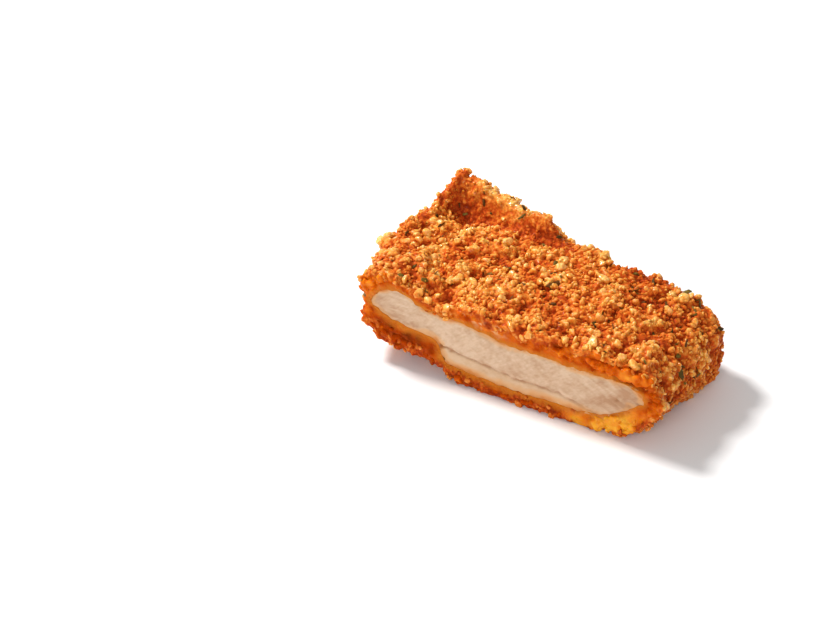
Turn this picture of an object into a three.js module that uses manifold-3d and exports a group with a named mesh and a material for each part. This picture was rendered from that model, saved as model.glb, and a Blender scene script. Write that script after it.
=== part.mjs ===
// Half of a breaded, fried chicken fillet, cut across and lying on its base.
// Millimetres, +Z up. The flat cut faces -Y, the thick end of the fillet is at -X.
// While it is drawn, x runs along the cut, y goes in from the cut and z is the height above the base.
// At the end everything moves so that the origin is the middle of the base.

import * as THREE from 'three';
import { mergeVertices } from 'three/addons/utils/BufferGeometryUtils.js';
import Module from 'manifold-3d';

// ---------- driving dimensions ----------

const bodyHeight = 22.4;      // thickness of the breaded fillet over its middle
const bodyBase = -0.8;        // the underside before it is pressed flat at z = 0
const rimReach = 7.5;         // how far in from the edge the rounding starts
const rimFullness = 0.85;     // under 1 the edge is a little squarer than an ellipse
const bodyMiddle = [-10, 18]; // the point that the plan's directions start from
const bodySpread = [45, 33];  // half length and half width that even out the triangles
const bodyDetail = 21;        // subdivisions of each icosahedron edge

const cragCount = 620;
const cragRadius = [2.8, 5.4];
const cragRise = [0.8, 2];
const cragSink = 0.8;         // the skin between the crags lies this much lower
const cragSeed = 7;

// The wall of the far rim that faces the cut is bare batter, nearly without crags.
const bareWall = { from: [-51, 43.5], to: [-14, 41], cover: 0.75, reach: 4.5 };

const coatOverMeat = 2.9;     // least coating above the meat, away from the cut
const coatUnderMeat = 2.6;    // least coating below it
const meatDepth = 44;         // how far the meat runs in from the cut, at its deepest
const meatTaper = 0.2;        // share of that depth lost towards the right end
const meatBulge = 4;          // how far the left end swells beyond its place at the cut
const meatRows = 17;
const meatSides = 60;
const fitGap = 0.3;           // between the meat and the coating

const seamWidth = 0.5;        // groove between the thick muscle and the strip below it
const seamDepth = 1.2;

// The outline seen from above, anticlockwise, drawn 13 mm past the cut so that the trim is clean.
const planPoints = [
  [33, -9], [33.4, 0], [33.6, 14], [34.2, 26], [35.4, 33.5], [34, 39], [28, 41.6],
  [17, 43.2], [-2, 45], [-22, 48.4], [-38, 51.6], [-49, 52.8], [-54, 51.2],
  [-55.8, 44], [-57.4, 27], [-55.6, 11], [-52.4, 0], [-50, -8], [-43, -12.5], [-10, -13], [25, -12],
];

// Swells (+) and hollows (-) of the top, each along a line: from, to, rise at both ends, reach.
const topSwells = [
  { name: 'lobe at the cut', from: [-46, 2], to: [-41, 9], rise: [3.8, 3.4], reach: 8 },
  { name: 'raised left edge', from: [-52, 12], to: [-52, 40], rise: [2.2, 4.6], reach: 7.5 },
  { name: 'corner peak', from: [-51.5, 47], to: [-50, 46.5], rise: [2.2, 2.2], reach: 6 },
  { name: 'far rim', from: [-48, 47.5], to: [-21, 43], rise: [7, 4.2], reach: 5.5 },
  { name: 'far rim, low end', from: [-20, 42], to: [22, 39], rise: [2.2, 1], reach: 6 },
  { name: 'valley along the rim', from: [-46, 41.5], to: [-20, 38.5], rise: [-2.4, -1.4], reach: 3.6 },
  { name: 'valley, left turn', from: [-48, 29], to: [-46.5, 37], rise: [-2, -1.6], reach: 3 },
  { name: 'hump', from: [-44, 27], to: [-28, 34.5], rise: [1.6, 2], reach: 6 },
  { name: 'middle', from: [-28, 22], to: [5, 26], rise: [1.4, 1], reach: 13 },
  { name: 'crevice', from: [-36, 10], to: [-41, 20], rise: [-2, -1.5], reach: 2.4 },
  { name: 'crevice, far half', from: [-41, 20], to: [-40, 33], rise: [-1.5, -1.8], reach: 2.4 },
  { name: 'dip at the cut', from: [-32, 2], to: [-27, 5], rise: [-1.2, -1], reach: 5 },
  { name: 'fall to the right end', from: [33, 8], to: [32, 40], rise: [-1.6, -3.4], reach: 9 },
];

// How far the underside curls up from the base towards the edges.
const baseLifts = [
  { name: 'left end', from: [-52, -4], to: [-54, 48], rise: [8.4, 4.6], reach: 11.5 },
  { name: 'thick batter at the cut', from: [-37, -2], to: [-31, 4], rise: [3.2, 2.6], reach: 5.5 },
  { name: 'right end', from: [34, -4], to: [33, 12], rise: [5.2, 2.2], reach: 10 },
  { name: 'right far corner', from: [33, 38], to: [27, 43], rise: [1, 3.6], reach: 6 },
  { name: 'far edge', from: [20, 45], to: [-48, 51], rise: [3.6, 3.6], reach: 7 },
];

// The meat at the cut, clockwise from its left tip, as [x, z].
const meatTop = [
  [-48.4, 16.4], [-46.6, 19.8], [-43, 21.8], [-39.5, 22.2], [-36, 20.8], [-31, 19.2],
  [-19, 18.6], [-9, 17], [11, 16.6], [25, 16.4], [29.4, 15],
];
const meatRightTip = [30.4, 12.4];
const meatUnder = [
  [27.4, 10.4], [22, 6.2], [15, 4.2], [4, 3.6], [-10, 3.4], [-22, 4.5], [-26.3, 5.2],
];
const stripStep = [[-27.8, 8.4], [-29, 10.8]]; // the strip's blunt left end
const meatThickUnder = [[-34, 11.4], [-41, 12.4], [-46, 14.2]];
const seamLine = [[-29.5, 10], [-22, 9], [-10, 7.6], [4, 7.4], [12, 6.2], [18, 4.6]];

// ---------- small tools ----------

const wasm = await Module();
wasm.setup();

function seededDraw(seed) {
  let state = seed;
  return () => {
    state = (state * 1664525 + 1013904223) % 4294967296;
    return state / 4294967296;
  };
}

function mix(a, b, t) {
  return a + (b - a) * t;
}

function weld(geometry) {
  geometry.deleteAttribute('normal');
  geometry.deleteAttribute('uv');
  return mergeVertices(geometry, 1e-5);
}

function toSolid(geometry) {
  const welded = weld(geometry);
  return new wasm.Manifold(new wasm.Mesh({
    numProp: 3,
    vertProperties: new Float32Array(welded.attributes.position.array),
    triVerts: new Uint32Array(welded.index.array),
  }));
}

function toGeometry(solid) {
  const { vertProperties, triVerts } = solid.getMesh();
  const geometry = new THREE.BufferGeometry();
  geometry.setAttribute('position', new THREE.BufferAttribute(new Float32Array(vertProperties), 3));
  geometry.setIndex(new THREE.BufferAttribute(new Uint32Array(triVerts), 1));
  geometry.computeVertexNormals();
  return geometry;
}

// Moves every vertex of a welded geometry along its normal by what rise(point) gives.
function pushOut(geometry, rise) {
  geometry.computeVertexNormals();
  const place = geometry.attributes.position;
  const normal = geometry.attributes.normal;
  const point = new THREE.Vector3();
  const out = new THREE.Vector3();
  for (let i = 0; i < place.count; i += 1) {
    point.fromBufferAttribute(place, i);
    out.fromBufferAttribute(normal, i);
    point.addScaledVector(out, rise(point));
    place.setXYZ(i, point.x, point.y, point.z);
  }
}

// How far along a line the nearest point to (x, y) is, and a bell that fades away from the line.
function bellAt({ from, to, reach }, x, y) {
  const [dx, dy] = [to[0] - from[0], to[1] - from[1]];
  const along = ((x - from[0]) * dx + (y - from[1]) * dy) / (dx * dx + dy * dy);
  const t = THREE.MathUtils.clamp(along, 0, 1);
  const distance = Math.hypot(x - from[0] - t * dx, y - from[1] - t * dy);
  return { t, bell: Math.exp(-((distance / reach) ** 2)) };
}

function swellAt(swells, x, y) {
  let height = 0;
  for (const swell of swells) {
    const { t, bell } = bellAt(swell, x, y);
    height += mix(swell.rise[0], swell.rise[1], t) * bell;
  }
  return height;
}

const topAt = (x, y) => bodyHeight + swellAt(topSwells, x, y);
const baseAt = (x, y) => bodyBase + swellAt(baseLifts, x, y);

// ---------- breaded body ----------

// Distance from bodyMiddle to the outline, for any direction.
function makePlanReach() {
  const corners = planPoints.map(([x, y]) => new THREE.Vector3(x, y, 0));
  const loop = new THREE.CatmullRomCurve3(corners, true, 'catmullrom', 0.5);
  const samples = loop.getPoints(planPoints.length * 24).map(({ x, y }) => {
    const [dx, dy] = [x - bodyMiddle[0], y - bodyMiddle[1]];
    return { angle: Math.atan2(dy, dx), reach: Math.hypot(dx, dy) };
  });
  samples.sort((a, b) => a.angle - b.angle);
  const last = samples[samples.length - 1];
  samples.unshift({ angle: last.angle - 2 * Math.PI, reach: last.reach });
  samples.push({ angle: samples[1].angle + 2 * Math.PI, reach: samples[1].reach });
  return (angle) => {
    const k = samples.findIndex((sample) => sample.angle >= angle);
    const [a, b] = [samples[k - 1], samples[k]];
    return mix(a.reach, b.reach, (angle - a.angle) / (b.angle - a.angle || 1));
  };
}

const planReach = makePlanReach();

// Takes a direction on the unit sphere to the smooth body: a slab with rounded edges.
function onBody(direction) {
  const angle = Math.atan2(direction.y * bodySpread[1], direction.x * bodySpread[0]);
  const fromPole = Math.acos(THREE.MathUtils.clamp(direction.z, -1, 1));
  const upper = fromPole <= Math.PI / 2;
  const share = (upper ? fromPole : Math.PI - fromPole) / (Math.PI / 2);
  const flat = planReach(angle) - rimReach;
  const rimArc = rimReach * 1.2 * Math.PI / 2;
  const path = share * (flat + rimArc);
  const turn = THREE.MathUtils.clamp((path - flat) / rimArc, 0, 1) * Math.PI / 2;
  const radius = path < flat ? path : flat + rimReach * Math.sin(turn);
  const fullness = path < flat ? 1 : Math.cos(turn) ** rimFullness;
  const inner = Math.min(radius, flat + rimReach * 0.6);
  const [ux, uy] = [Math.cos(angle), Math.sin(angle)];
  const above = topAt(bodyMiddle[0] + inner * ux, bodyMiddle[1] + inner * uy);
  const below = baseAt(bodyMiddle[0] + inner * ux, bodyMiddle[1] + inner * uy);
  const half = (above - below) / 2;
  const height = below + half + (upper ? 1 : -1) * fullness * half;
  return new THREE.Vector3(bodyMiddle[0] + radius * ux, bodyMiddle[1] + radius * uy, height);
}

function makeCrags() {
  const draw = seededDraw(cragSeed);
  return Array.from({ length: cragCount }, () => {
    const z = draw() * 2 - 1;
    const angle = draw() * 2 * Math.PI;
    const level = Math.sqrt(1 - z * z);
    const direction = new THREE.Vector3(level * Math.cos(angle), level * Math.sin(angle), z);
    const radius = mix(cragRadius[0], cragRadius[1], draw());
    const rise = mix(cragRise[0], cragRise[1], draw());
    return { centre: onBody(direction), radius, rise };
  });
}

// Crags are round-topped clumps of crumb: where they overlap the highest one shows.
function cragRiseAt(crags, point) {
  let rise = 0;
  for (const crag of crags) {
    const away = point.distanceTo(crag.centre) / crag.radius;
    if (away < 1) rise = Math.max(rise, crag.rise * Math.sqrt(1 - away * away));
  }
  const bare = bareWall.cover * bellAt(bareWall, point.x, point.y).bell;
  return (rise - cragSink) * (1 - bare);
}

function makeBody() {
  const geometry = weld(new THREE.IcosahedronGeometry(1, bodyDetail));
  const place = geometry.attributes.position;
  const direction = new THREE.Vector3();
  for (let i = 0; i < place.count; i += 1) {
    const point = onBody(direction.fromBufferAttribute(place, i).normalize());
    place.setXYZ(i, point.x, point.y, point.z);
  }
  const crags = makeCrags();
  pushOut(geometry, (point) => cragRiseAt(crags, point));
  for (let i = 0; i < place.count; i += 1) place.setZ(i, Math.max(place.getZ(i), 0));
  return toSolid(geometry);
}

// Everything in front of the cut plane.
function makeTrim() {
  const size = 200;
  const box = new THREE.BoxGeometry(size, size, size);
  box.translate(0, -size / 2, 0);
  return toSolid(box);
}

// ---------- meat ----------

function meatSection() {
  const outline = [...meatTop, meatRightTip, ...meatUnder, ...stripStep, ...meatThickUnder];
  const corners = outline.map(([x, z]) => new THREE.Vector3(x, 0, z));
  const loop = new THREE.CatmullRomCurve3(corners, true, 'centripetal');
  return loop.getSpacedPoints(meatSides).slice(0, meatSides);
}

// A loft of the section from just in front of the cut to a blunt far end.
function makeMeatLoft() {
  const section = meatSection();
  const middle = new THREE.Vector3(-9, 0, 12);
  const points = [];
  for (let row = 0; row <= meatRows; row += 1) {
    const share = row / meatRows;
    const y = mix(-1.5, meatDepth, Math.sin(share * Math.PI / 2));
    const size = Math.max(1 - (Math.max(y, 0) / (meatDepth + 0.4)) ** 5, 0) ** 0.5;
    for (const corner of section) {
      const rightward = (corner.x - section[0].x) / (meatRightTip[0] - section[0].x);
      const bulge = meatBulge * (1 - rightward) * Math.sin(Math.PI * share);
      const x = mix(middle.x, corner.x - bulge, mix(0.8, 1, size));
      const z = mix(middle.z, corner.z, size);
      const depth = y > 0 ? y * (1 - meatTaper * rightward) : y;
      const ceiling = topAt(x, depth) - coatOverMeat;
      const floor = Math.max(baseAt(x, depth), 0) + coatUnderMeat;
      const fitted = THREE.MathUtils.clamp(z, floor, ceiling);
      points.push(x, depth, mix(z, fitted, THREE.MathUtils.smoothstep(depth, 1, 9)));
    }
  }
  const first = points.length / 3;
  points.push(middle.x, -1.5, middle.z, middle.x, meatDepth * (1 - meatTaper / 2), middle.z);
  const faces = [];
  for (let row = 0; row < meatRows; row += 1) {
    for (let side = 0; side < meatSides; side += 1) {
      const next = (side + 1) % meatSides;
      const [a, b] = [row * meatSides + side, row * meatSides + next];
      const [c, d] = [a + meatSides, b + meatSides];
      faces.push(a, b, c, b, d, c);
    }
  }
  for (let side = 0; side < meatSides; side += 1) {
    const next = (side + 1) % meatSides;
    faces.push(first, next, side);
    faces.push(first + 1, meatRows * meatSides + side, meatRows * meatSides + next);
  }
  const geometry = new THREE.BufferGeometry();
  geometry.setAttribute('position', new THREE.Float32BufferAttribute(points, 3));
  geometry.setIndex(faces);
  return geometry;
}

// A thin wedge along the seam, just behind the cut.
function makeSeamCutter() {
  const line = new THREE.SplineCurve(seamLine.map(([x, z]) => new THREE.Vector2(x, z)));
  const steps = 24;
  const upper = [];
  const lower = [];
  for (let i = 0; i <= steps; i += 1) {
    const spot = line.getPoint(i / steps);
    const half = seamWidth / 2 * Math.sqrt(Math.max(Math.sin(Math.PI * i / steps), 0.04));
    upper.push(new THREE.Vector2(spot.x, spot.y + half));
    lower.unshift(new THREE.Vector2(spot.x, spot.y - half));
  }
  const groove = new THREE.ExtrudeGeometry(new THREE.Shape([...upper, ...lower]), {
    depth: seamDepth + 1,
    bevelEnabled: false,
  });
  groove.rotateX(Math.PI / 2);
  groove.translate(0, seamDepth, 0);
  return toSolid(groove);
}

// ---------- the two nodes ----------

const trim = makeTrim();
const meatLoft = makeMeatLoft();
const meatSolid = toSolid(meatLoft.clone()).subtract(trim).subtract(makeSeamCutter());
pushOut(meatLoft, () => fitGap);
const coatingSolid = makeBody().subtract(trim).subtract(toSolid(meatLoft));

const coating = new THREE.Mesh(
  toGeometry(coatingSolid),
  new THREE.MeshStandardMaterial({ color: 0xd17535, roughness: 0.62, metalness: 0 }),
);
coating.name = 'coating';

const meat = new THREE.Mesh(
  toGeometry(meatSolid),
  new THREE.MeshStandardMaterial({ color: 0xd9b294, roughness: 0.5, metalness: 0 }),
);
meat.name = 'meat';

const outside = new THREE.Box3().setFromObject(coating);
const middle = outside.getCenter(new THREE.Vector3());
for (const mesh of [coating, meat]) mesh.position.set(-middle.x, -middle.y, -outside.min.z);

const breadedFillet = new THREE.Group();
breadedFillet.add(coating, meat);

export default breadedFillet;
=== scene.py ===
import math

import bmesh
import bpy
import numpy as np
from mathutils import Matrix, Vector
from mathutils.kdtree import KDTree


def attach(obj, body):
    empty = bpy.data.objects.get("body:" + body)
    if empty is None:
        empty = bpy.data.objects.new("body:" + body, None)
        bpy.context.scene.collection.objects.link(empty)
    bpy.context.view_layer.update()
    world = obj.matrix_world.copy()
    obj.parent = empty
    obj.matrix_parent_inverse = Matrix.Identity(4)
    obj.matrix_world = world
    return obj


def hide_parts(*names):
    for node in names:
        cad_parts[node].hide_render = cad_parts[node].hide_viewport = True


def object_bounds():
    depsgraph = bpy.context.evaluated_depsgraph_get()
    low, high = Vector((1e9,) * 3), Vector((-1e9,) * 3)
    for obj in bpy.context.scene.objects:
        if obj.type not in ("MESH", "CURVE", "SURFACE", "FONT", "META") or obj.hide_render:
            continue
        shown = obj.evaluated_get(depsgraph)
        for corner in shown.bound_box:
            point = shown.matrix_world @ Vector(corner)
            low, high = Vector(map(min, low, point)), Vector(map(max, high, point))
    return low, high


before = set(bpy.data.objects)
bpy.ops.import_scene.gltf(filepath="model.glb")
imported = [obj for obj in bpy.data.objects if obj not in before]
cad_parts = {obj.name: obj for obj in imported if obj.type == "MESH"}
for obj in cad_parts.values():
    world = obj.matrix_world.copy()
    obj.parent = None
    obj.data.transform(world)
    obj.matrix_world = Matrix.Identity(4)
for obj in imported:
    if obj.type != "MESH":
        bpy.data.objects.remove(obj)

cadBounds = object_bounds()
print("stage: frame loaded", cadBounds)

# Everything is drawn in millimetres with y = 0 on the cut, then moved into the part's frame.
place = {
    "cutMiddle": 11.16,                        # x = 0 of the drawing, right of the part's middle
    "cutY": cadBounds[0][1] * 1000,            # y of the flat cut in the part's frame
}

body = {
    "height": 22.4, "base": -0.8, "rimReach": 7.5, "rimFullness": 0.85,
    "middle": (-10, 18), "spread": (45, 33), "subdivisions": 6,
    "cragCount": 620, "cragRadius": (2.8, 5.4), "cragRise": (0.8, 2.0), "cragSink": 0.8, "cragSeed": 7,
    "crumbRoom": 0.95,                         # the skin lies this much lower, to leave room for crumbs
}

planPoints = [
    (33, -9), (33.4, 0), (33.6, 14), (34.2, 26), (35.4, 33.5), (34, 39), (28, 41.6),
    (17, 43.2), (-2, 45), (-22, 48.4), (-38, 51.6), (-49, 52.8), (-54, 51.2),
    (-55.8, 44), (-57.4, 27), (-55.6, 11), (-52.4, 0), (-50, -8), (-43, -12.5), (-10, -13), (25, -12),
]

# from, to, rise at both ends, reach: swells and hollows of the top
topSwells = {
    "lobe at the cut": ((-46, 2), (-41, 9), (3.8, 3.4), 8),
    "raised left edge": ((-52, 12), (-52, 40), (2.2, 4.6), 7.5),
    "corner peak": ((-51.5, 47), (-50, 46.5), (2.2, 2.2), 6),
    "far rim": ((-48, 47.5), (-21, 43), (7, 4.2), 5.5),
    "far rim, low end": ((-20, 42), (22, 39), (2.2, 1), 6),
    "valley along the rim": ((-46, 41.5), (-20, 38.5), (-2.4, -1.4), 3.6),
    "valley, left turn": ((-48, 29), (-46.5, 37), (-2, -1.6), 3),
    "hump": ((-44, 27), (-28, 34.5), (1.6, 2), 6),
    "middle": ((-28, 22), (5, 26), (1.4, 1), 13),
    "crevice": ((-36, 10), (-41, 20), (-2, -1.5), 2.4),
    "crevice, far half": ((-41, 20), (-40, 33), (-1.5, -1.8), 2.4),
    "dip at the cut": ((-32, 2), (-27, 5), (-1.2, -1), 5),
    "fall to the right end": ((33, 8), (32, 40), (-1.6, -3.4), 9),
}

baseLifts = {
    "left end": ((-52, -4), (-54, 48), (8.4, 4.6), 11.5),
    "thick batter at the cut": ((-37, -2), (-31, 4), (3.2, 2.6), 5.5),
    "right end": ((34, -4), (33, 12), (5.2, 2.2), 10),
    "right far corner": ((33, 38), (27, 43), (1, 3.6), 6),
    "far edge": ((20, 45), (-48, 51), (3.6, 3.6), 7),
}

# clumps and cracks of the crust; valley and rim: from and to, reach, rise, least upward tilt
relief = {
    "clump": 1.25, "clumpMm": (5.2, 2.4), "crack": 1.5, "crackMm": 8.0, "crackShare": 0.10,
    "valley": (((-46, 40.5), (-16, 37.5)), 3.0, -1.7, 0.3),
    "rim": (((-48, 47.5), (-18, 43.5)), 2.6, 0.9, -0.2),
}

# spots where the coating is thinner: middle, reach, how much
thinSpots = {
    "nose": ((-55, 1, 18), 9, 1.3),
    "left edge": ((-54, 11, 25), 7, 1.3),
    "far right rim": ((19, 42, 21), 10, 1.9),
    "right far corner": ((36, 34, 17), 6, 1.4),
    "far middle": ((-14, 44, 24), 4, 1.2),
    "under the pocket": ((-30, -1, 1), 5, 2.2),
}

bareWall = {"line": ((-51, 43.5), (-14, 41)), "cover": 0.75, "reach": 4.5}      # steep, with few crumbs
bareNose = ((-52, -1, 15), (5, 3, 9))          # middle and reach of the smooth batter at the left end


# small tools

def mm(value):
    return value * 0.001


def lattice(cells, seed):
    # a fixed pseudo-random number from -1 to 1 for each whole-number corner
    mixed = cells[..., 0] * 73856093 ^ cells[..., 1] * 19349663 ^ cells[..., 2] * 83492791
    mixed = (mixed ^ (seed * 2654435761)) & 0xFFFFFFFF
    mixed = (mixed ^ (mixed >> 15)) * 2246822519 & 0xFFFFFFFF
    mixed = (mixed ^ (mixed >> 13)) * 3266489917 & 0xFFFFFFFF
    return ((mixed ^ (mixed >> 16)) & 0xFFFFFFFF) / 2147483648.0 - 1.0


def softNoise(points, size, seed=0):
    # smooth noise from -1 to 1 whose lumps are about size millimetres across
    scaled = np.asarray(points, float) / size
    cell = np.floor(scaled).astype(np.int64)
    part = scaled - cell
    part = part * part * (3 - 2 * part)
    total = 0
    for corner in np.ndindex(2, 2, 2):
        weight = np.prod(np.where(np.array(corner) == 1, part, 1 - part), axis=-1)
        total = total + weight * lattice(cell + np.array(corner), seed)
    return total


def smoothStep(value, low, high):
    t = np.clip((value - low) / (high - low), 0, 1)
    return t * t * (3 - 2 * t)


def lineBell(line, reach, x, y):
    # how far along the line the nearest spot lies, and 1 on the line fading out over reach
    (x0, y0), (x1, y1) = line
    dx, dy = x1 - x0, y1 - y0
    t = np.clip(((x - x0) * dx + (y - y0) * dy) / (dx * dx + dy * dy), 0, 1)
    away = np.hypot(x - x0 - t * dx, y - y0 - t * dy)
    return t, np.exp(-(away / reach) ** 2)


def bellAt(line, reach, x, y):
    return lineBell(line, reach, x, y)[1]


def ballAt(middle, reach, points):
    # 1 at the middle, fading out over reach
    return np.exp(-(((points - middle) / reach) ** 2).sum(1))


def dotsAt(dots, squash, x, z):
    # soft marks on the cut, each given by x, z and radius
    return sum(np.exp(-(np.hypot((x - a) * squash[0], (z - c) * squash[1]) / r) ** 2) for a, c, r in dots)


def swellAt(swells, x, y):
    height = np.zeros_like(np.asarray(x, float))
    for start, end, rise, reach in swells.values():
        t, bell = lineBell((start, end), reach, x, y)
        height += (rise[0] + (rise[1] - rise[0]) * t) * bell
    return height


def curveBetween(before, start, end, after, t):
    # one stretch of a Catmull-Rom curve
    return 0.5 * (2 * start + (end - before) * t + (2 * before - 5 * start + 4 * end - after) * t ** 2
                  + (3 * start - before - 3 * end + after) * t ** 3)


def splineLoop(points, steps):
    p = np.array(points, float)
    t = (np.arange(steps) / steps)[:, None]
    around = zip(np.roll(p, 1, 0), p, np.roll(p, -1, 0), np.roll(p, -2, 0))
    return np.concatenate([curveBetween(*four, t) for four in around])


def splineOpen(points, steps):
    p = np.array(points, float)
    p = np.concatenate([2 * p[:1] - p[1:2], p, 2 * p[-1:] - p[-2:-1]])
    t = (np.arange(steps) / steps)[:, None]
    rows = [curveBetween(*p[i - 1:i + 3], t) for i in range(1, len(p) - 2)]
    return np.concatenate(rows + [p[-2][None]])


def treeOf(points):
    tree = KDTree(len(points))
    for i, point in enumerate(points):
        tree.insert(point, i)
    tree.balance()
    return tree


def flatTree(points):
    return treeOf([(x, z, 0) for x, z in points])


def flatAway(tree, x, z):
    return np.array([tree.find((a, b, 0))[2] for a, b in zip(x, z)])


# meshes

def toPart(points):
    return mm(np.asarray(points) + (place["cutMiddle"], place["cutY"], 0))


def toDrawing(points):
    return np.asarray(points) / mm(1) - (place["cutMiddle"], place["cutY"], 0)


def meshFrom(name, verts, faces):
    # verts in drawing millimetres, faces an array of triangles or quads
    mesh = bpy.data.meshes.new(name)
    faces = np.asarray(faces, np.int32)
    mesh.vertices.add(len(verts))
    mesh.vertices.foreach_set("co", toPart(verts).astype(np.float32).ravel())
    mesh.loops.add(faces.size)
    mesh.loops.foreach_set("vertex_index", faces.ravel())
    mesh.polygons.add(len(faces))
    mesh.polygons.foreach_set("loop_start", np.arange(len(faces), dtype=np.int32) * faces.shape[1])
    mesh.update(calc_edges=True)
    mesh.shade_smooth()
    return mesh


def newObject(name, mesh):
    obj = bpy.data.objects.new(name, mesh)
    bpy.context.scene.collection.objects.link(obj)
    return obj


def rowsOf(items, name, kind=np.float32, width=3):
    flat = np.empty(len(items) * width, kind)
    items.foreach_get(name, flat)
    return flat.reshape(-1, width)


def pointsOf(mesh):
    return toDrawing(rowsOf(mesh.vertices, "co").astype(float))


def normalsOf(mesh):
    return rowsOf(mesh.vertex_normals, "vector").astype(float)


def trianglesOf(mesh):
    mesh.calc_loop_triangles()
    return rowsOf(mesh.loop_triangles, "vertices", np.int32)


def movePoints(mesh, points):
    mesh.vertices.foreach_set("co", toPart(points).astype(np.float32).ravel())
    mesh.update()


def setAttribute(mesh, name, values):
    layer = mesh.attributes.new(name, "FLOAT", "POINT")
    layer.data.foreach_set("value", np.asarray(values, np.float32))


def markSharp(mesh, flags):
    layer = mesh.attributes.new("sharp_edge", "BOOLEAN", "EDGE")
    layer.data.foreach_set("value", flags)


def modify(obj, kind, **settings):
    modifier = obj.modifiers.new(kind.lower(), kind)
    for key, value in settings.items():
        setattr(modifier, key, value)


def applied(obj):
    # the mesh as its modifiers leave it, and the modifiers gone
    graph = bpy.context.evaluated_depsgraph_get()
    mesh = bpy.data.meshes.new_from_object(obj.evaluated_get(graph))
    obj.modifiers.clear()
    old = obj.data
    obj.data = mesh
    bpy.data.meshes.remove(old)
    return mesh


def icoSphere(level):
    shape = bmesh.new()
    bmesh.ops.create_icosphere(shape, subdivisions=level, radius=1)
    shape.verts.ensure_lookup_table()
    verts = np.array([v.co[:] for v in shape.verts])
    faces = np.array([[v.index for v in f.verts] for f in shape.faces])
    shape.free()
    return verts, faces


def faceNormals(verts, faces):
    corner = verts[faces]
    return np.cross(corner[:, 1] - corner[:, 0], corner[:, 2] - corner[:, 0])


def pointNormals(verts, faces):
    flat = faceNormals(verts, faces)
    total = np.zeros_like(verts)
    for k in range(3):
        np.add.at(total, faces[:, k], flat)
    return total / np.linalg.norm(total, axis=1, keepdims=True).clip(1e-9)


# the breaded body, before its crumbs

def planReachTable():
    loop = splineLoop(planPoints, 24) - body["middle"]
    angle, reach = np.arctan2(loop[:, 1], loop[:, 0]), np.hypot(loop[:, 0], loop[:, 1])
    order = np.argsort(angle)
    return angle[order], reach[order]


planAngles, planReaches = planReachTable()


def topAt(x, y):
    return body["height"] + swellAt(topSwells, x, y)


def baseAt(x, y):
    return body["base"] + swellAt(baseLifts, x, y)


def onBody(direction):
    # the point of the plain body that lies in each direction
    middle, spread = body["middle"], body["spread"]
    angle = np.arctan2(direction[:, 1] * spread[1], direction[:, 0] * spread[0])
    fromPole = np.arccos(np.clip(direction[:, 2], -1, 1))
    upper = fromPole <= math.pi / 2
    share = np.where(upper, fromPole, math.pi - fromPole) / (math.pi / 2)
    flat = np.interp(angle, planAngles, planReaches, period=2 * math.pi) - body["rimReach"]
    rimArc = body["rimReach"] * 1.2 * math.pi / 2
    path = share * (flat + rimArc)
    turn = np.clip((path - flat) / rimArc, 0, 1) * math.pi / 2
    radius = np.where(path < flat, path, flat + body["rimReach"] * np.sin(turn))
    fullness = np.where(path < flat, 1, np.cos(turn).clip(0) ** body["rimFullness"])
    inner = np.minimum(radius, flat + body["rimReach"] * 0.6)
    ux, uy = np.cos(angle), np.sin(angle)
    above = topAt(middle[0] + inner * ux, middle[1] + inner * uy)
    below = baseAt(middle[0] + inner * ux, middle[1] + inner * uy)
    half = (above - below) / 2
    z = below + half + np.where(upper, 1, -1) * fullness * half
    return np.stack([middle[0] + radius * ux, middle[1] + radius * uy, z], 1)


def makeCrags():
    # spots, radii and heights of the large crags, from a small fixed generator
    state = body["cragSeed"]
    rows = []
    for _ in range(body["cragCount"]):
        draws = []
        for _ in range(4):
            state = (state * 1664525 + 1013904223) % 4294967296
            draws.append(state / 4294967296)
        z, angle = draws[0] * 2 - 1, draws[1] * 2 * math.pi
        level = math.sqrt(1 - z * z)
        rows.append((level * math.cos(angle), level * math.sin(angle), z, draws[2], draws[3]))
    table = np.array(rows)
    low, high = body["cragRadius"]
    small, tall = body["cragRise"]
    return onBody(table[:, :3]), low + (high - low) * table[:, 3], small + (tall - small) * table[:, 4]


def makeSkin():
    directions, faces = icoSphere(body["subdivisions"])
    smooth = onBody(directions)
    x, y = smooth[:, 0], smooth[:, 1]
    normals = pointNormals(smooth, faces)
    tree = treeOf(smooth)
    rise = np.zeros(len(smooth))
    for centre, radius, tall in zip(*makeCrags()):
        for _, i, away in tree.find_range(centre, radius):
            rise[i] = max(rise[i], tall * math.sqrt(max(1 - (away / radius) ** 2, 0)))
    bare = bareWall["cover"] * bellAt(bareWall["line"], bareWall["reach"], x, y)
    wide, narrow = relief["clumpMm"]
    clump = softNoise(smooth, wide, 3) + 0.5 * softNoise(smooth, narrow, 4)
    crack = np.exp(-(softNoise(smooth, relief["crackMm"], 6) / relief["crackShare"]) ** 2)
    rise = (rise - body["cragSink"]) * (1 - bare) - body["crumbRoom"]
    rise += relief["clump"] * clump * (1 - 0.6 * bare) - relief["crack"] * crack * (1 - bare)
    for line, reach, tall, tilt in (relief["valley"], relief["rim"]):
        rise += tall * bellAt(line, reach, x, y) * (normals[:, 2] > tilt)
    for middle, reach, sink in thinSpots.values():
        rise -= sink * ballAt(middle, reach, smooth)
    verts = smooth + normals * rise[:, None]
    verts[:, 2] = np.maximum(verts[:, 2], 0.25 + 0.2 * softNoise(verts * (1, 1, 0), 3.0, 5))
    return verts, faces, smooth, normals


class Surface:
    # heights over a surface, read at its nearest vertex
    def __init__(self, verts, normals):
        self.verts, self.normals = verts, normals
        self.tree = treeOf(verts)

    def height(self, points):
        near = np.array([self.tree.find(p)[1] for p in points])
        return ((points - self.verts[near]) * self.normals[near]).sum(1)


# crumbs

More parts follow.
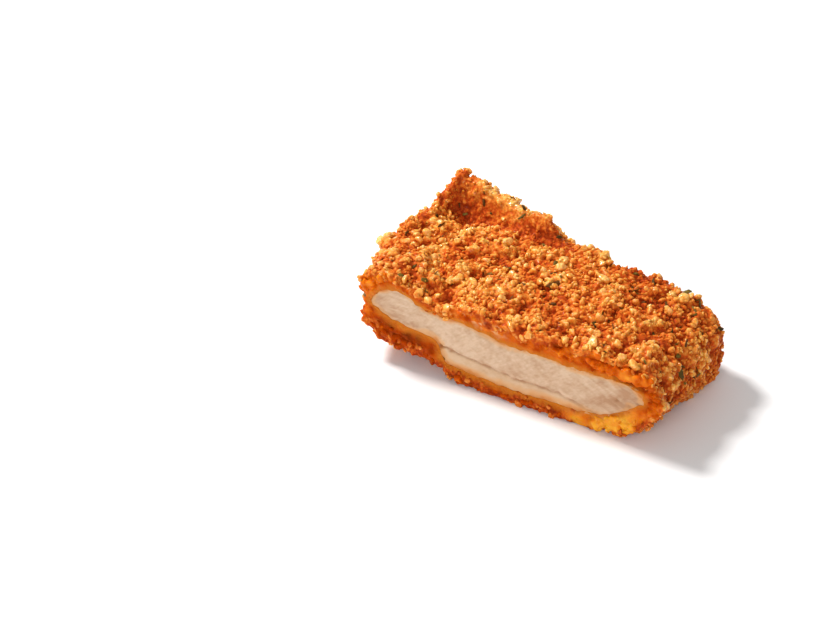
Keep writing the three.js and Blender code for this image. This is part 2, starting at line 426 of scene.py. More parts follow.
crumbs = {
    "spacing": 0.68,          # least distance between two centres, as a share of their radii added
    "radius": (0.42, 1.25), "smaller": (1.2, 3.0),        # beta draw, so that most are small
    "finerLowDown": 0.35, "finerOnWall": 0.5,
    "count": 11000,
    "out": (-0.3, 0.45),      # how far a centre stands off the skin, in radii
    "seed": 21,
    "cutCount": 900,          # crumbs that hang over the cut batter
    "cutRadius": (0.3, 0.8), "cutSpacing": 0.7,
}


def scatter(verts, faces, count, weight, seed):
    # random points spread over the faces by area and weight, with their normals
    random = np.random.default_rng(seed)
    flat = faceNormals(verts, faces)
    area = np.linalg.norm(flat, axis=1)
    middle = verts[faces].mean(1)
    chance = area * weight(middle, flat / area[:, None].clip(1e-12))
    pick = random.choice(len(faces), size=count, p=chance / chance.sum())
    u, v = random.random(count), random.random(count)
    over = u + v > 1
    u, v = np.where(over, 1 - u, u), np.where(over, 1 - v, v)
    corner = verts[faces[pick]]
    along, across = corner[:, 1] - corner[:, 0], corner[:, 2] - corner[:, 0]
    points = corner[:, 0] + u[:, None] * along + v[:, None] * across
    return points, flat[pick] / area[pick][:, None], random


def thinned(points, radii, share):
    # drops points that crowd an earlier one
    cell = 2 * share * radii.max()
    grid = {}
    kept = []
    for i, (p, r) in enumerate(zip(points, radii)):
        key = tuple((p // cell).astype(int))
        near = (j for dx in (-1, 0, 1) for dy in (-1, 0, 1) for dz in (-1, 0, 1)
                for j in grid.get((key[0] + dx, key[1] + dy, key[2] + dz), ()))
        if all(math.dist(p, points[j]) > share * (r + radii[j]) for j in near):
            grid.setdefault(key, []).append(i)
            kept.append(i)
    return np.array(kept)


def wallShare(middle, normal):
    # the steep wall behind the valley carries few crumbs
    bell = bellAt(bareWall["line"], bareWall["reach"] * 0.8, middle[:, 0], middle[:, 1])
    return bell * (normal[:, 2] > 0)


def lowFront(points, top):
    # 1 low down by the cut, where the crust is finer and redder
    return smoothStep(-points[:, 2], -top, 6 - top) * smoothStep(-points[:, 1], -5, -1)


def crumbWeight(middle, normal):
    weight = np.where(normal[:, 2] < -0.7, 0.35, 1)                 # pressed thin underneath
    weight = weight * (1 - 0.45 * wallShare(middle, normal))
    weight = weight * (1 - ballAt(*bareNose, middle))
    weight = weight * (smoothStep(softNoise(middle, 5.5, 8), -0.7, 0.2) * 0.6 + 0.4)
    return np.where(middle[:, 1] < -0.8, 0, weight)


def nuggets(points, radii, level, random, planes=6, rough=0.2, stretch=(0.6, 1.45)):
    # one crumb for each point: a lump broken off along a few planes, its edges worn round
    base, faces = icoSphere(level)
    count = len(points)
    planeNormals = random.normal(size=(count, planes, 3))
    planeNormals /= np.linalg.norm(planeNormals, axis=2, keepdims=True)
    planeAway = random.uniform(0.5, 1.0, size=(count, 1, planes))
    facing = np.einsum("vc,kpc->kvp", base, planeNormals)
    limit = np.clip(planeAway / np.maximum(facing, 0.02), 0, 5)
    reach = ((limit ** -9.0).sum(2) + 1.2 ** -9.0) ** (-1 / 9.0)
    reach *= 1 + rough * softNoise(base[None] * 1.6 + random.uniform(0, 90, size=(count, 1, 3)), 0.8, 12)
    turn = random.normal(size=(count, 4))
    turn /= np.linalg.norm(turn, axis=1, keepdims=True)
    w, x, y, z = turn.T
    spin = np.stack([
        1 - 2 * (y * y + z * z), 2 * (x * y - w * z), 2 * (x * z + w * y),
        2 * (x * y + w * z), 1 - 2 * (x * x + z * z), 2 * (y * z - w * x),
        2 * (x * z - w * y), 2 * (y * z + w * x), 1 - 2 * (x * x + y * y)], 1).reshape(-1, 3, 3)
    shape = base[None] * reach[..., None] * random.uniform(*stretch, size=(count, 1, 3))
    verts = points[:, None] + (shape @ spin.transpose(0, 2, 1)) * radii[:, None, None] * 1.12
    allFaces = faces[None] + (np.arange(count) * len(base))[:, None, None]
    return verts, allFaces.reshape(-1, 3)


def cutCrumbs(measures, random):
    # points in the band of the cut that lies beyond the bare batter
    count = crumbs["cutCount"] * 14
    x, z = random.uniform(-60, 38, count), random.uniform(0, 30, count)
    inner, share = measures["cut"].share(x, z)
    clear = zoneMix(x, z)[1] + 0.12 * softNoise(np.stack([x, z, 0 * x], 1), 2.0, 19)
    inside = (inner > 0.4) & (share < 0.97) & (share > clear)
    x, z = x[inside], z[inside]
    deep = measures["skin"].height(np.stack([x, 0 * x + 0.8, z], 1)) < -0.35
    x, z = x[deep], z[deep]
    points = np.stack([x, random.uniform(-0.25, 0.5, len(x)), z], 1)
    low, high = crumbs["cutRadius"]
    radii = low + (high - low) * random.beta(1.5, 2.4, len(x))
    kept = thinned(points, radii, crumbs["cutSpacing"])[:crumbs["cutCount"]]
    return points[kept], radii[kept]


def placeCrumbs(skinVerts, skinFaces, measures):
    points, normals, random = scatter(skinVerts, skinFaces, crumbs["count"] * 3, crumbWeight, crumbs["seed"])
    low, high = crumbs["radius"]
    radii = low + (high - low) * random.beta(*crumbs["smaller"], len(points))
    radii *= 1 - crumbs["finerLowDown"] * lowFront(points, 10)
    radii *= 1 - crumbs["finerOnWall"] * wallShare(points, normals)
    kept = thinned(points, radii, crumbs["spacing"])[:crumbs["count"]]
    points, normals, radii = points[kept], normals[kept], radii[kept]
    clump = softNoise(points, 4.2, 9)
    out = random.uniform(*crumbs["out"], len(points)) + 0.5 * clump
    points = points + normals * (out * radii)[:, None]
    cutPoints, cutRadii = cutCrumbs(measures, random)
    points, radii = np.concatenate([points, cutPoints]), np.concatenate([radii, cutRadii])
    return {"points": points, "radii": radii, "tone": random.random(len(points)), "random": random}


# meat

meatShape = {
    "top": [(-48.4, 16.4), (-46.6, 19.8), (-43, 21.8), (-39.5, 22.2), (-36, 20.8), (-31, 19.2),
            (-19, 18.6), (-9, 17), (11, 16.6), (25, 16.4), (29.4, 15)],
    "rightTip": (30.4, 12.4),
    "under": [(27.4, 10.4), (22, 6.2), (15, 4.2), (4, 3.6), (-10, 3.4), (-22, 4.5), (-26.3, 5.2)],
    "stripStep": [(-27.8, 8.4), (-29, 10.8)],
    "thickUnder": [(-34, 11.4), (-41, 12.4), (-46, 14.2)],
    "seam": [(-29.5, 10), (-22, 9), (-10, 7.6), (4, 7.4), (12, 6.2), (18, 4.6)],
    "spots": [(-45.2, 14.8, 0.9), (-43.2, 13.5, 0.8), (-41, 13.9, 1.1), (-38.4, 13.1, 0.8), (-36, 13.2, 1.2),
              (-33.4, 12.0, 0.8), (-30.8, 11.6, 1.1), (20.5, 10.4, 1.5), (26, 9.6, 1.7), (24, 13.6, 1.2)],
    "pits": [(-27.5, 9.8, 0.7), (-24.6, 9.0, 0.5), (22.5, 11.0, 0.6), (26, 10.4, 0.8), (28.2, 11.8, 0.5)],
    "depth": 44, "taper": 0.2, "bulge": 4, "rows": 17,
    "middle": (-9, 12),                        # x and z that the rings shrink towards
    "coatOver": 2.9, "coatUnder": 2.6,
    "grainTilt": -24,                          # degrees that the fibres run off level
    "stripSpan": (-30, 19), "stripLine": ((-26, 4), (18, 4)),
    "columns": 380, "levels": 80,
}


def meatLoop(steps=16):
    m = meatShape
    return splineLoop(m["top"] + [m["rightTip"]] + m["under"] + m["stripStep"] + m["thickUnder"], steps)


def meatOutline(columns):
    # height of the meat's underside and top at evenly spread columns of the cut
    loop = meatLoop()
    left, right = loop[:, 0].argmin(), loop[:, 0].argmax()
    loop = np.roll(loop, -left, axis=0)
    right = (right - left) % len(loop)
    upper, lower = loop[:right + 1], np.concatenate([loop[right:], loop[:1]])[::-1]
    t = np.linspace(0, 1, columns)
    t = 0.75 * t + 0.25 * (1 - np.cos(math.pi * t)) / 2
    x = upper[0, 0] + t * (upper[-1, 0] - upper[0, 0])
    topZ = np.interp(x, np.maximum.accumulate(upper[:, 0]), upper[:, 1])
    lowZ = np.interp(x, np.maximum.accumulate(lower[:, 0]), lower[:, 1])
    topZ[[0, -1]] = lowZ[[0, -1]] = (topZ[[0, -1]] + lowZ[[0, -1]]) / 2
    return x, lowZ, topZ


def meatRing(x, z, share, tip):
    # the cut's outline carried to a depth in the piece
    m = meatShape
    middleX, middleZ = m["middle"]
    size = max(1 - share ** 5, 0) ** 0.5
    rightward = (x - tip[0]) / (tip[1] - tip[0])
    wide = 0.8 + 0.2 * size
    newX = middleX + (x - m["bulge"] * (1 - rightward) * math.sin(math.pi * share) - middleX) * wide
    newZ = middleZ + (z - middleZ) * size
    depth = m["depth"] * share * (1 - m["taper"] * rightward)
    ceiling = topAt(newX, depth) - m["coatOver"]
    floor = np.maximum(baseAt(newX, depth), 0) + m["coatUnder"]
    fitted = np.clip(newZ, floor, ceiling)
    newZ = newZ + (fitted - newZ) * smoothStep(depth, 1, 9)
    return np.stack([newX, depth + 0 * newX, newZ], 1)


def meatLoft(columns, rows, grow=0.0, front=None):
    # rings from the cut to the blunt far end, closed by a fan; front gives y of the first ring
    x, low, high = meatOutline(columns)
    ringX = np.concatenate([x, x[-2:0:-1]])
    ringZ = np.concatenate([low, high[-2:0:-1]])
    tip = (x[0], x[-1])
    step = np.gradient(np.stack([ringX, ringZ], 1), axis=0)
    outward = np.stack([step[:, 1], -step[:, 0]], 1)
    outward /= np.linalg.norm(outward, axis=1, keepdims=True).clip(1e-9)
    ringX, ringZ = ringX + grow * outward[:, 0], ringZ + grow * outward[:, 1]
    shares = np.sin(np.linspace(0, 1, rows) * math.pi / 2)
    rings = [meatRing(ringX, ringZ, s, tip) for s in shares]
    if front is not None:
        first = rings[0].copy()
        first[:, 1] = front
        rings.insert(0, first)
    n = len(ringX)
    verts = np.concatenate(rings + [rings[-1].mean(0)[None]])
    here = np.arange(n)
    after = (here + 1) % n
    faces = []
    for start in range(0, (len(rings) - 1) * n, n):
        a, b = start + here, start + after
        faces += [np.stack([a, b + n, b], 1), np.stack([a, a + n, b + n], 1)]
    last = (len(rings) - 1) * n
    faces.append(np.stack([last + here, np.full(n, len(verts) - 1), last + after], 1))
    return verts, np.concatenate(faces), n


def makeCavityCutter():
    ahead = -3.0                               # the cutter reaches out of the cut by this much
    verts, faces, n = meatLoft(90, 12, grow=0.06, front=ahead)
    verts = np.concatenate([verts, [[verts[:n, 0].mean(), ahead, meatShape["middle"][1]]]])
    ring = np.arange(n)
    cap = np.stack([ring, (ring + 1) % n, np.full(n, len(verts) - 1)], 1)
    return meshFrom("cavityCutter", verts, np.concatenate([faces, cap]))


# the batter that shows at the cut, between the meat and the crumbs

class CutMap:
    # distances on the cut from the meat and from the outside of the coating
    def __init__(self, outerVerts, outerNormals):
        rim = (outerVerts[:, 1] > 0.3) & (outerVerts[:, 1] < 1.1) & (np.abs(outerNormals[:, 1]) < 0.7)
        self.rimTree = flatTree(outerVerts[rim][:, [0, 2]])
        self.loop = meatLoop(64)
        ahead = np.roll(self.loop, -1, 0) - np.roll(self.loop, 1, 0)
        self.outward = np.stack([-ahead[:, 1], ahead[:, 0]], 1) / np.linalg.norm(ahead, axis=1)[:, None]
        self.meatTree = flatTree(self.loop)
        self.x, self.low, self.high = meatOutline(200)

    def fromMeat(self, x, z):
        away = flatAway(self.meatTree, x, z)
        inside = (x > self.x[0]) & (x < self.x[-1])
        inside &= (z > np.interp(x, self.x, self.low)) & (z < np.interp(x, self.x, self.high))
        return np.where(inside, -away, away)

    def awayFromMeat(self, x, z):
        # the direction straight away from the meat's outline
        return self.outward[np.array([self.meatTree.find((a, b, 0))[1] for a, b in zip(x, z)])]

    def share(self, x, z):
        # 0 at the meat, 1 at the outside
        inner, outer = self.fromMeat(x, z), flatAway(self.rimTree, x, z)
        return inner, np.clip(inner, 0, None) / (np.clip(inner, 0, None) + outer + 1e-6)


# line on the cut in x and z, reach, tone from dark (0) to golden (1), share left clear of crumbs
batterZones = {
    "left lobe": (((-52.5, 14), (-46, 24.5)), 5, 0.55, 0.95),
    "thick pocket": (((-46, 9), (-31, 6)), 5, 0.22, 0.55),
    "thin top": (((-42, 23), (0, 19.5)), 3.5, 0.46, 0.62),
    "wet top": (((7, 19), (29, 18)), 4, 0.40, 0.85),
    "peel": (((-19, 20.6), (-11, 20)), 3, 0.52, 0.9),
    "right": (((33, 16), (33, 8)), 4, 0.38, 0.75),
    "under the strip": (((-26, 2), (6, 1.6)), 3, 0.30, 0.35),
    "gel": (((13, 2), (29, 5)), 4, 0.89, 0.85),
}
underLipGapAndPaintedShade = ((22, 17.6), (30, 16.9))            # the gap below the overhang at the right: pressed in, and darkened with painted shade
lipFront = ((24, 18.4), (33, 18))              # the golden front of that overhang
peelStreak = ((-19, 21.2), (-10, 19.8))        # pale skin of batter lifting off the meat


def zoneMix(x, z):
    # tone and clear share of the batter, blended between the zones
    total, tone, clear = 1e-6, 0, 0
    for line, reach, shade, free in batterZones.values():
        bell = bellAt(line, reach, x, z) + 1e-5
        total, tone, clear = total + bell, tone + bell * shade, clear + bell * free
    return tone / total, clear / total


def inZone(name, x, z):
    line, reach = batterZones[name][:2]
    return bellAt(line, reach, x, z)


# node helper and colours

def srgb(code):
    parts = [int(code[i:i + 2], 16) / 255 for i in (1, 3, 5)]
    return (*[c / 12.92 if c <= 0.04045 else ((c + 0.055) / 1.055) ** 2.4 for c in parts], 1.0)


def node(tree, kind, settings=None, links=None):
    made = tree.nodes.new("ShaderNode" + kind)
    for key, value in (settings or {}).items():
        if isinstance(key, int) or key in made.inputs:
            made.inputs[key].default_value = value
        else:
            setattr(made, key, value)
    for key, source in (links or {}).items():
        tree.links.new(source, made.inputs[key])
    return made


def ramp(tree, factor, stops):
    made = node(tree, "ValToRGB", links={"Fac": factor})
    band = made.color_ramp
    while len(band.elements) < len(stops):
        band.elements.new(0.5)
    for element, (spot, code) in zip(band.elements, stops):
        element.position = spot
        element.color = srgb(code)
    return made.outputs["Color"]


def newMaterial(name):
    material = bpy.data.materials.new(name)
    material.use_nodes = True
    tree = material.node_tree
    tree.nodes.clear()
    return material, tree


# patterns are given by size in millimetres, detail and roughness of the noise
crumbLook = {
    "deep": "#963410", "paste": "#be5018", "orange": "#d87a28", "golden": "#eea038", "pale": "#fabf66",
    "patch": (5.2, 3.0, 0.6), "speck": (0.9, 3.0, 0.65), "grain": (0.4, 2.0, 0.6),
    "granuleMm": 0.8,                          # one granule of crumb
    "granuleBumpMm": 0.21, "grainBumpMm": 0.08,
    "roughness": (0.25, 0.6), "ior": 1.45, "scatter": 0.65, "scatterMm": 0.9,
    "oil": (0.02, 0.55),                       # film of frying oil in the paste and on the tips
}
batterLook = {
    "dark": "#762a00", "red": "#a83a00", "orange": "#cc5a04", "bright": "#e68212", "golden": "#eca424",
    "ochre": "#c6701f", "peel": "#dcae78",
    "flow": (3.5, 2.0, 0.5), "bumpMm": 0.35,
    "roughness": 0.4, "scatter": 0.6, "scatterMm": 0.8, "wet": (0.02, 0.4),
}


def friedCrumbMaterial():
    # Fried bread crumb in set batter: browned tips over orange-red paste, with painted light paling the tips
    # and painted shade deepening the hollows; at the cut the bare batter is smooth, wet and lets light
    # through
    look, wet = crumbLook, batterLook
    material, tree = newMaterial("friedCrumb")
    coords = node(tree, "TexCoord").outputs["Object"]
    rise, tone, batter, batterTone, ochre, peel = (
        node(tree, "Attribute", {"attribute_name": name}).outputs["Fac"]
        for name in ("rise", "tone", "batter", "batterTone", "ochre", "peel"))
    patch, speck, grain, flow = (
        node(tree, "TexNoise", {"Scale": 1 / mm(size), "Detail": detail, "Roughness": rough},
             {"Vector": coords}).outputs["Fac"]
        for size, detail, rough in (look["patch"], look["speck"], look["grain"], wet["flow"]))
    granule = node(tree, "TexVoronoi", {"feature": "SMOOTH_F1", "Scale": 1 / mm(look["granuleMm"]),
                                        "Smoothness": 0.35, "Randomness": 1.0},
                   {"Vector": coords}).outputs["Distance"]

    # crumbs: paler where they stand up, darker in the paste between them and round each granule: partly the
    # paste's own colour, partly painted shade in the hollows and painted light on the tips
    shade = rise
    for source, amount in ((tone, 0.3), (patch, 0.28), (speck, 0.36), (granule, -0.38)):
        shade = node(tree, "Math", {"operation": "MULTIPLY_ADD", 1: amount},
                     {0: source, 2: shade}).outputs[0]
    shade = node(tree, "Math", {"operation": "ADD", 1: -0.2}, {0: shade}).outputs[0]
    crumbColour = ramp(tree, shade, [
        (0.0, look["deep"]), (0.25, look["paste"]), (0.5, look["orange"]),
        (0.76, look["golden"]), (1.0, look["pale"])])

    # bare batter: from dark pockets to golden gel, ochre along the meat
    wetTone = node(tree, "Math", {"operation": "MULTIPLY_ADD", 1: 0.3}, {0: flow, 2: batterTone}).outputs[0]
    wetTone = node(tree, "Math", {"operation": "ADD", 1: -0.15}, {0: wetTone}).outputs[0]
    wetColour = ramp(tree, wetTone, [
        (0.0, wet["dark"]), (0.28, wet["red"]), (0.5, wet["orange"]),
        (0.74, wet["bright"]), (1.0, wet["golden"])])
    for share, code in ((ochre, wet["ochre"]), (peel, wet["peel"])):
        wetColour = node(tree, "Mix", {"data_type": "RGBA", "B": srgb(code)},
                         {"Factor": share, "A": wetColour}).outputs["Result"]
    colour = node(tree, "Mix", {"data_type": "RGBA"},
                  {"Factor": batter, "A": crumbColour, "B": wetColour}).outputs["Result"]

    # granules and grain on the crumbs, softer lumps in the batter
    lump = node(tree, "Math", {"operation": "SUBTRACT", 0: 1.0}, {1: granule}).outputs[0]
    nubbly = node(tree, "MapRange", {"To Min": 1.0, "To Max": 0.4}, {"Value": batter}).outputs["Result"]
    bump = node(tree, "Bump", {"Distance": mm(look["granuleBumpMm"])}, {"Height": lump, "Strength": nubbly})
    bump = node(tree, "Bump", {"Strength": 0.6, "Distance": mm(look["grainBumpMm"])},
                {"Height": grain, "Normal": bump.outputs["Normal"]})
    bump = node(tree, "Bump", {"Distance": mm(wet["bumpMm"])},
                {"Height": speck, "Strength": batter, "Normal": bump.outputs["Normal"]})

    # oil and wet film, and light let in
    rough = node(tree, "MapRange", {"To Min": look["roughness"][0], "To Max": look["roughness"][1]},
                 {"Value": speck}).outputs["Result"]
    rough = node(tree, "Mix", {"data_type": "FLOAT", "B": wet["roughness"]},
                 {"Factor": batter, "A": rough}).outputs["Result"]
    scattered = node(tree, "MapRange", {"To Min": look["scatter"], "To Max": wet["scatter"]},
                     {"Value": batter}).outputs["Result"]
    reach = node(tree, "MapRange", {"To Min": mm(look["scatterMm"]), "To Max": mm(wet["scatterMm"])},
                 {"Value": batter}).outputs["Result"]
    oily, wetFilm = (
        node(tree, "MapRange", {"From Min": 0.4, "From Max": 0.9, "To Min": least, "To Max": most},
             {"Value": value}).outputs["Result"]
        for value, (least, most) in ((shade, look["oil"]), (wetTone, wet["wet"])))
    gloss = node(tree, "Mix", {"data_type": "FLOAT", "B": 0.02}, {"Factor": batter, "A": oily})
    film = node(tree, "Mix", {"data_type": "FLOAT"}, {"Factor": batter, "A": oily, "B": wetFilm})
    shader = node(tree, "BsdfPrincipled", {
        "IOR": look["ior"], "Subsurface Radius": (1.0, 0.6, 0.3), "Coat Roughness": 0.08, "Coat IOR": 1.46},
        {"Base Color": colour, "Roughness": rough, "Normal": bump.outputs["Normal"],
         "Subsurface Weight": scattered, "Subsurface Scale": reach,
         "Specular IOR Level": gloss.outputs["Result"], "Coat Weight": film.outputs["Result"]})
    node(tree, "OutputMaterial", links={"Surface": shader.outputs["BSDF"]})
    return material


meatLook = {
    "pale": "#d3b597", "tan": "#b08460", "strip": "#d0ac84", "rim": "#d39c64", "edge": "#c4762e",
    "seam": "#a8744c",
    "grain": (0.8, 3.0, 0.6), "patch": (4, 3.0, 0.6), "grainBumpMm": 0.18,
    "grainTurn": 35, "grainStretch": (0.5, 1.0, 1.5),
    "roughness": 0.42, "ior": 1.40, "scatter": 0.4, "scatterMm": 0.8,
}


def cookedMeatMaterial():
    # Moist cooked breast meat: pale and slightly pink, its cut fibres a fine soft grain
    look = meatLook
    material, tree = newMaterial("cookedMeat")
    coords = node(tree, "TexCoord").outputs["Object"]
    edge, strip, fibre, seam = (
        node(tree, "Attribute", {"attribute_name": name}).outputs["Fac"]
        for name in ("edge", "strip", "fibre", "seam"))
    turned = node(tree, "Mapping", {"Rotation": (0, math.radians(look["grainTurn"]), 0)}, {"Vector": coords})
    stretched = node(tree, "Mapping", {"Scale": look["grainStretch"]}, {"Vector": turned.outputs[0]})
    grain, patch = (
        node(tree, "TexNoise", {"Scale": 1 / mm(size), "Detail": detail, "Roughness": rough},
             {"Vector": stretched.outputs[0]}).outputs["Fac"]
        for size, detail, rough in (look["grain"], look["patch"]))
    blend = patch
    for source, amount in ((grain, 0.6), (fibre, 0.35)):
        blend = node(tree, "Math", {"operation": "MULTIPLY_ADD", 1: amount}, {0: source, 2: blend}).outputs[0]
    blend = node(tree, "Math", {"operation": "SUBTRACT", 1: 0.5}, {0: blend}).outputs[0]
    flesh = ramp(tree, blend, [(0.05, look["tan"]), (0.74, look["pale"])])

    # the strip below the seam, then browner towards the batter, and last the seam line with painted shade in
    # the pits
    stripShade = node(tree, "Math", {"operation": "MULTIPLY", 1: 0.5}, {0: strip}).outputs[0]
    rimShade = node(tree, "MapRange", {"From Min": 0.0, "From Max": 0.7}, {"Value": edge}).outputs["Result"]
    edgeShade = node(tree, "MapRange", {"interpolation_type": "SMOOTHSTEP", "From Min": 0.5,
                                        "From Max": 1.05}, {"Value": edge}).outputs["Result"]
    seamShade = node(tree, "Math", {"operation": "MULTIPLY", 1: 0.8}, {0: seam}).outputs[0]
    for share, name in ((stripShade, "strip"), (rimShade, "rim"), (edgeShade, "edge"), (seamShade, "seam")):
        flesh = node(tree, "Mix", {"data_type": "RGBA", "B": srgb(look[name])},
                     {"Factor": share, "A": flesh}).outputs["Result"]
    bump = node(tree, "Bump", {"Strength": 0.6, "Distance": mm(look["grainBumpMm"])}, {"Height": grain})
    shader = node(tree, "BsdfPrincipled", {
        "Roughness": look["roughness"], "IOR": look["ior"], "Subsurface Weight": look["scatter"],
        "Subsurface Radius": (1.0, 0.75, 0.55), "Subsurface Scale": mm(look["scatterMm"])},
        {"Base Color": flesh, "Normal": bump.outputs["Normal"]})
    node(tree, "OutputMaterial", links={"Surface": shader.outputs["BSDF"]})
    return material


# the crust

crust = {
    "voxel": 0.3, "faces": 194_000,
    "foremost": -1.0,                          # no crumb stands further out of the cut
    "onTable": 0.02,                           # nor lower than this
    "cutReach": 1.6,                           # how far behind the cut the batter is shaped and painted
    "recess": 0.14, "swell": 0.3, "lump": 0.35, "gelLump": 0.6, "lipGap": 1.0,
    "lap": 1.1,                                # how near the meat the batter laps over it
}


def makeCrust(skinVerts, skinFaces, crumbSet):
    # skin and sunk crumbs fused in one closed shell, flat at the cut
    verts, faces = nuggets(crumbSet["points"], crumbSet["radii"], 3, crumbSet["random"])
    stickOut = crust["foremost"] * crumbSet["random"].random(len(verts))
    verts[..., 1] = np.maximum(verts[..., 1], stickOut[:, None])
    verts[..., 2] = np.maximum(verts[..., 2], crust["onTable"])
    skinPoints = skinVerts.copy()
    skinPoints[:, 1] = np.maximum(skinPoints[:, 1], 0)
    allVerts = np.concatenate([skinPoints, verts.reshape(-1, 3)])
    allFaces = np.concatenate([skinFaces, faces + len(skinPoints)])
    obj = newObject("crumbCoating", meshFrom("crumbCoating", allVerts, allFaces))
    modify(obj, "REMESH", mode="VOXEL", voxel_size=mm(crust["voxel"]), use_smooth_shade=True)
    mesh = applied(obj)
    print("stage: crust fused", len(mesh.polygons), "quads")
    modify(obj, "SMOOTH", factor=0.5, iterations=1)
    applied(obj)
    return obj


def reliefAtCut(obj, cutMap):
    # the cut batter: recessed at the meat, swelling outward, lumpy where it is thick
    mesh = obj.data
    points, normals = pointsOf(mesh), normalsOf(mesh)
    face = np.flatnonzero((points[:, 1] < 0.35) & (normals[:, 1] < -0.5))
    x, z = points[face, 0], points[face, 2]
    inner, share = cutMap.share(x, z)
    flat = np.stack([x, 0 * x, z], 1)
    lump = softNoise(flat, 3.0, 61) + 0.5 * softNoise(flat, 1.3, 62)
    rough = crust["lump"] + crust["gelLump"] * inZone("gel", x, z)
    swell = crust["recess"] - crust["swell"] * np.sin(np.pi * share.clip(0, 1)) - rough * lump
    swell = np.where(share > 0.75, swell * (1 - smoothStep(share, 0.75, 1)), swell)
    swell = swell + crust["lipGap"] * bellAt(underLipGapAndPaintedShade, 0.9, x, z)
    points[face, 1] += np.where(inner > 0, swell, 0.1) * (points[face, 1] > -0.25)
    points[:, 1] = np.maximum(points[:, 1], crust["foremost"])
    movePoints(mesh, points)


def hollowCrust(obj):
    modify(obj, "DECIMATE", ratio=min(crust["faces"] * 0.96 / (2 * len(obj.data.polygons)), 1))
    applied(obj)
    cutter = newObject("cavityCutter", makeCavityCutter())
    modify(obj, "BOOLEAN", operation="DIFFERENCE", object=cutter, solver="MANIFOLD")
    mesh = applied(obj)
    bpy.data.objects.remove(cutter)
    mesh.shade_smooth()
    print("stage: crust hollowed", len(mesh.polygons), "faces")


def lipOverMeat(obj, cutMap):
    # the batter's inner edge laps a little over the meat, so that no gap shows
    mesh = obj.data
    points = pointsOf(mesh)
    close = np.flatnonzero(points[:, 1] < crust["cutReach"])
    x, z = points[close, 0], points[close, 2]
    inner = cutMap.fromMeat(x, z)
    lap = 1 - np.clip(inner / crust["lap"], 0, 1)
    pull = np.clip(0.5 + 0.45 * softNoise(points[close] * (1, 0, 1), 1.5, 64), 0.1, 1.0)
    away = cutMap.awayFromMeat(x, z)
    points[close, 0] -= pull * lap * away[:, 0]
    points[close, 2] -= pull * lap * away[:, 1]
    tuck = smoothStep(pull * lap - inner, -0.7, 0.0)           # whatever ends over the meat lies before it
    points[close, 1] -= points[close, 1] * tuck
    movePoints(mesh, points)
    tucked = np.zeros(len(points), bool)
    tucked[close] = tuck > 0.15
    ends = rowsOf(mesh.edges, "vertices", np.int32, 2)
    markSharp(mesh, tucked[ends].any(1))                       # so that the thin lip catches no false shade


lumpsForemost = -1.3
# lines on the cut in x and z, spread across them, radius, how many, how far they stand behind the cut
batterLumps = {
    "over the right end": (((20, 19.5), (33, 18.8)), 0.8, (0.4, 1.3), 46, 0.05),
    "wet top": (((2, 19.8), (20, 19.6)), 0.8, (0.4, 1.1), 26, 0.75),
    "gel": (((16.5, 2.7), (30, 5.2)), 1.4, (0.5, 1.4), 46, 0.6),
    "left fold": (((-51.2, 20), (-43.5, 25)), 0.8, (0.5, 1.2), 24, 0.5),
    "left edge": (((-51.2, 9), (-51.4, 20)), 0.4, (0.4, 0.9), 22, 0.5),
    "pocket": (((-48, 9.5), (-31, 4.5)), 1.6, (0.4, 1.2), 30, 0.85),
    "right": (((33, 16.5), (32.5, 7)), 0.9, (0.4, 1.2), 20, 0.55),
    "under the strip": (((-25, 1.8), (12, 1.6)), 0.5, (0.4, 0.9), 22, 0.5),
}


def makeBatterLumps(measures):
    # swollen, wet lumps of set batter along the cut, run together
    random = np.random.default_rng(81)
    centres, radii = [], []
    for (start, end), spread, (low, high), count, back in batterLumps.values():
        t = (np.arange(count) + random.uniform(0.1, 0.9, count)) / count
        x = start[0] + (end[0] - start[0]) * t + random.normal(0, 0.6 * spread, count)
        z = start[1] + (end[1] - start[1]) * t + random.normal(0, 0.6 * spread, count)
        radius = low + (high - low) * random.random(count) ** 1.3
        centres.append(np.stack([x, radius * random.uniform(0.3, 0.8, count) + back - 0.8, z], 1))
        radii.append(radius)
    centres, radii = np.concatenate(centres), np.concatenate(radii)
    x, z = centres[:, 0], centres[:, 2]
    clear = np.where(z > 17, np.where(x > 18, -0.5, 0.3), 0.8)         # only the overhang laps over the meat
    keep = measures["skin"].height(centres + (0, 0.6, 0)) < -0.25 * radii
    keep &= measures["cut"].fromMeat(x, z) > clear * radii
    centres, radii = centres[keep], radii[keep]
    verts, faces = nuggets(centres, radii, 3, random, planes=4, rough=0.3, stretch=(0.75, 1.35))
    verts[..., 1] = np.maximum(verts[..., 1], lumpsForemost)
    verts[..., 2] = np.maximum(verts[..., 2], 0.05)
    obj = newObject("batterLumps", meshFrom("batterLumps", verts.reshape(-1, 3), faces))
    modify(obj, "REMESH", mode="VOXEL", voxel_size=mm(0.2))
    modify(obj, "SMOOTH", factor=0.6, iterations=4)
    mesh = applied(obj)
    mesh.shade_smooth()
    points = pointsOf(mesh)
    paint(mesh, points, normalsOf(mesh), measures, np.full(len(points), 0.5), True)
    print("stage: batter lumps", len(mesh.polygons), "quads")
    return obj


# paler and darker parts of the crust, painted light on the steep wall and the near side of the rim: line in x
# and y, reach, how much paler, y where it has faded
tintsAndPaintedLight = {
    # painted light: the steep wall and the near side of the rim are made paler than the lamps leave them
    "steep wall": (bareWall["line"], bareWall["reach"], 0.08, 99),
    "front ridge": (((-44, 8), (-28, 26)), 14, 0.05, 99),
    "near side of the rim": (((-50, 48.5), (-16, 44.5)), 5, 0.2, 49),
    "middle": (((-12, 22), (14, 26)), 14, -0.1, 99),
}


